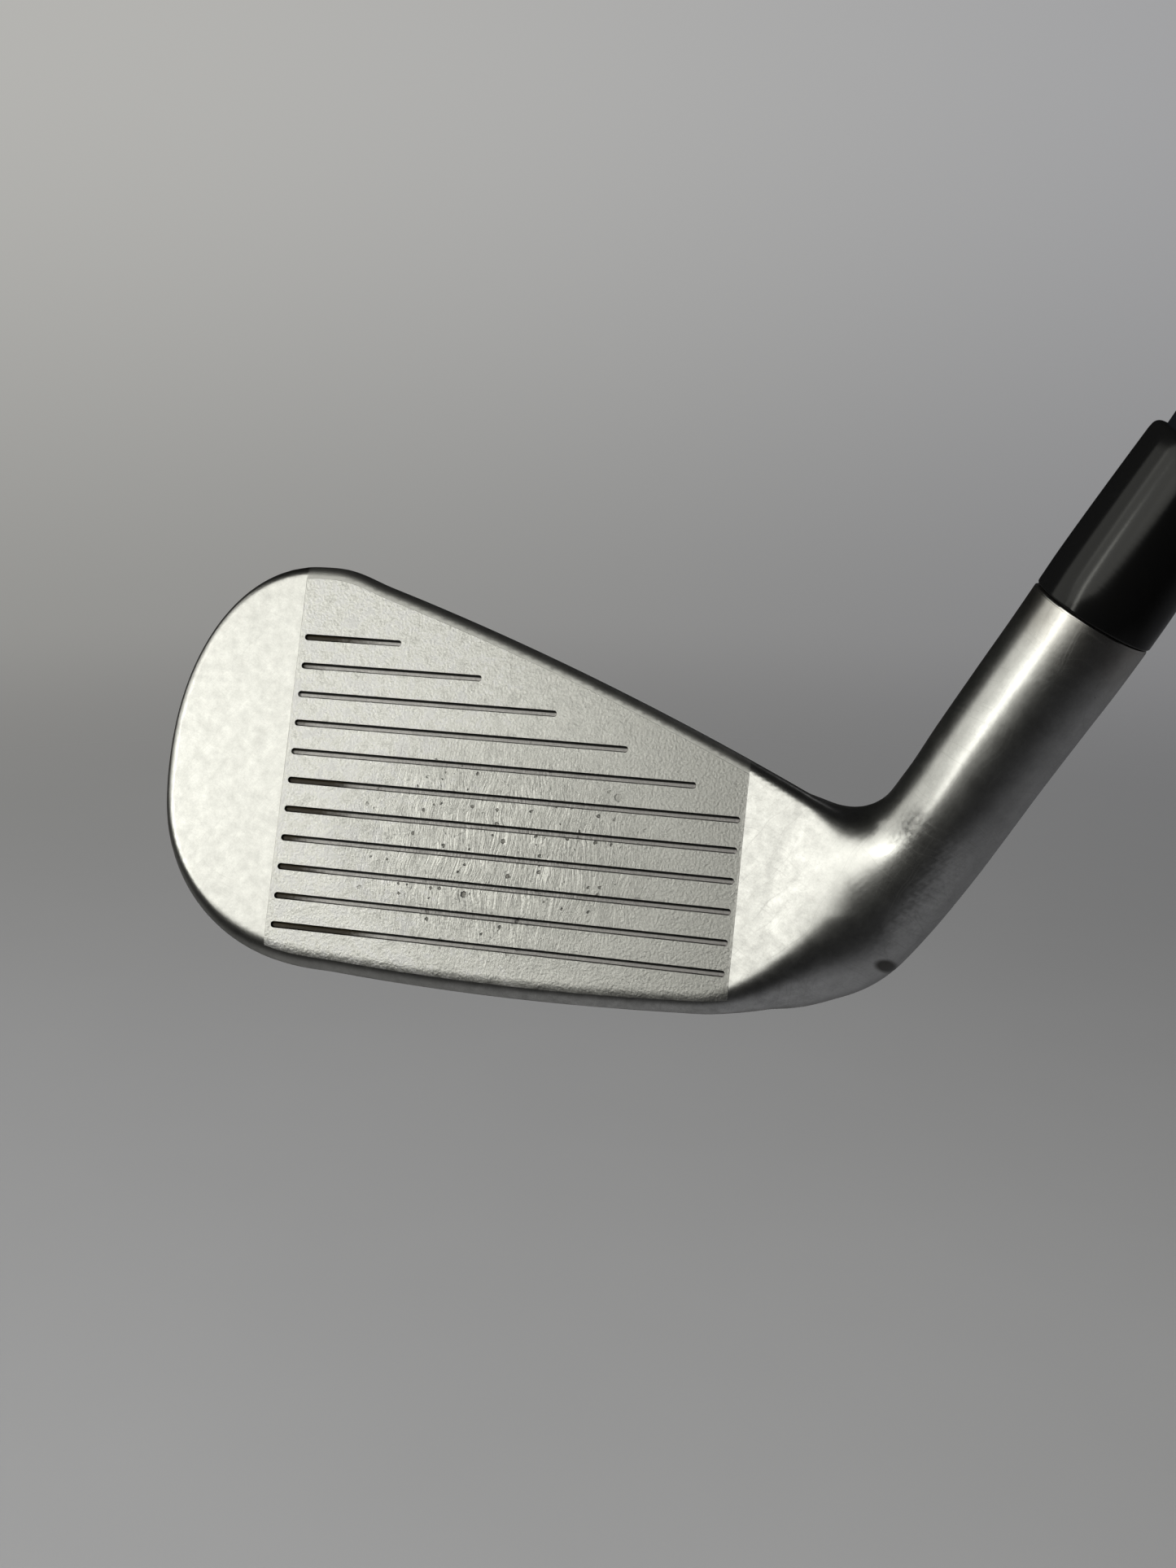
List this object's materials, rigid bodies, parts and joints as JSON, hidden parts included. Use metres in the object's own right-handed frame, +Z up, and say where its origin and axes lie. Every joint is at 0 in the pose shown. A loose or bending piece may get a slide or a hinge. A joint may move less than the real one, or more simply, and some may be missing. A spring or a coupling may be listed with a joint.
{
  "type": "iron golf club",
  "caption": "Right-handed long iron golf club: hollow satin-chrome blade with scored face, angled hosel, black ferrule, tapered black shaft and ribbed rubber grip.",
  "frame": {"origin": "centre of the scored strike face, on the face plane midway along the long score lines and midway between two of them", "axes": "+Z is up with the club soled at address, +X runs from toe to heel so the shaft leans to +X, and -Y is the target side the face looks at"},
  "size_m": [0.5655, 0.0312, 0.8643],
  "materials": {
    "satin_chrome": "satin-polished chrome plate over cast stainless steel",
    "blasted_face": "media-blasted satin chrome with worn, lightly soiled grooves",
    "urethane_foam": "cured urethane filler",
    "tungsten": "sintered tungsten alloy",
    "screw_steel": "machined stainless steel",
    "bond_tape": "double-sided foam bonding tape",
    "badge_alloy": "brushed, dark anodised plate with a bright chamfer",
    "shaft_lacquer": "black lacquer over carbon-fibre composite",
    "epoxy": "cured epoxy film",
    "tip_brass": "turned brass",
    "ferrule_black": "turned and polished black cellulose plastic",
    "label_film": "silver-grey film band with plain stripes",
    "grip_tape": "spiral-wound masking tape",
    "grip_rubber": "matt black rubber with moulded traction pattern"
  },
  "bodies": {
    "root": {"head_body": "satin_chrome", "face_plate": "blasted_face", "foam_core": "urethane_foam", "toe_weight": "tungsten", "toe_port_screw": "screw_steel", "badge_adhesive": "bond_tape", "back_badge": "badge_alloy", "shaft": "shaft_lacquer", "hosel_epoxy": "epoxy", "tip_weight": "tip_brass", "ferrule": "ferrule_black", "shaft_label": "label_film", "grip_tape": "grip_tape", "grip": "grip_rubber", "grip_cap": "grip_rubber"}
  },
  "joints": []
}
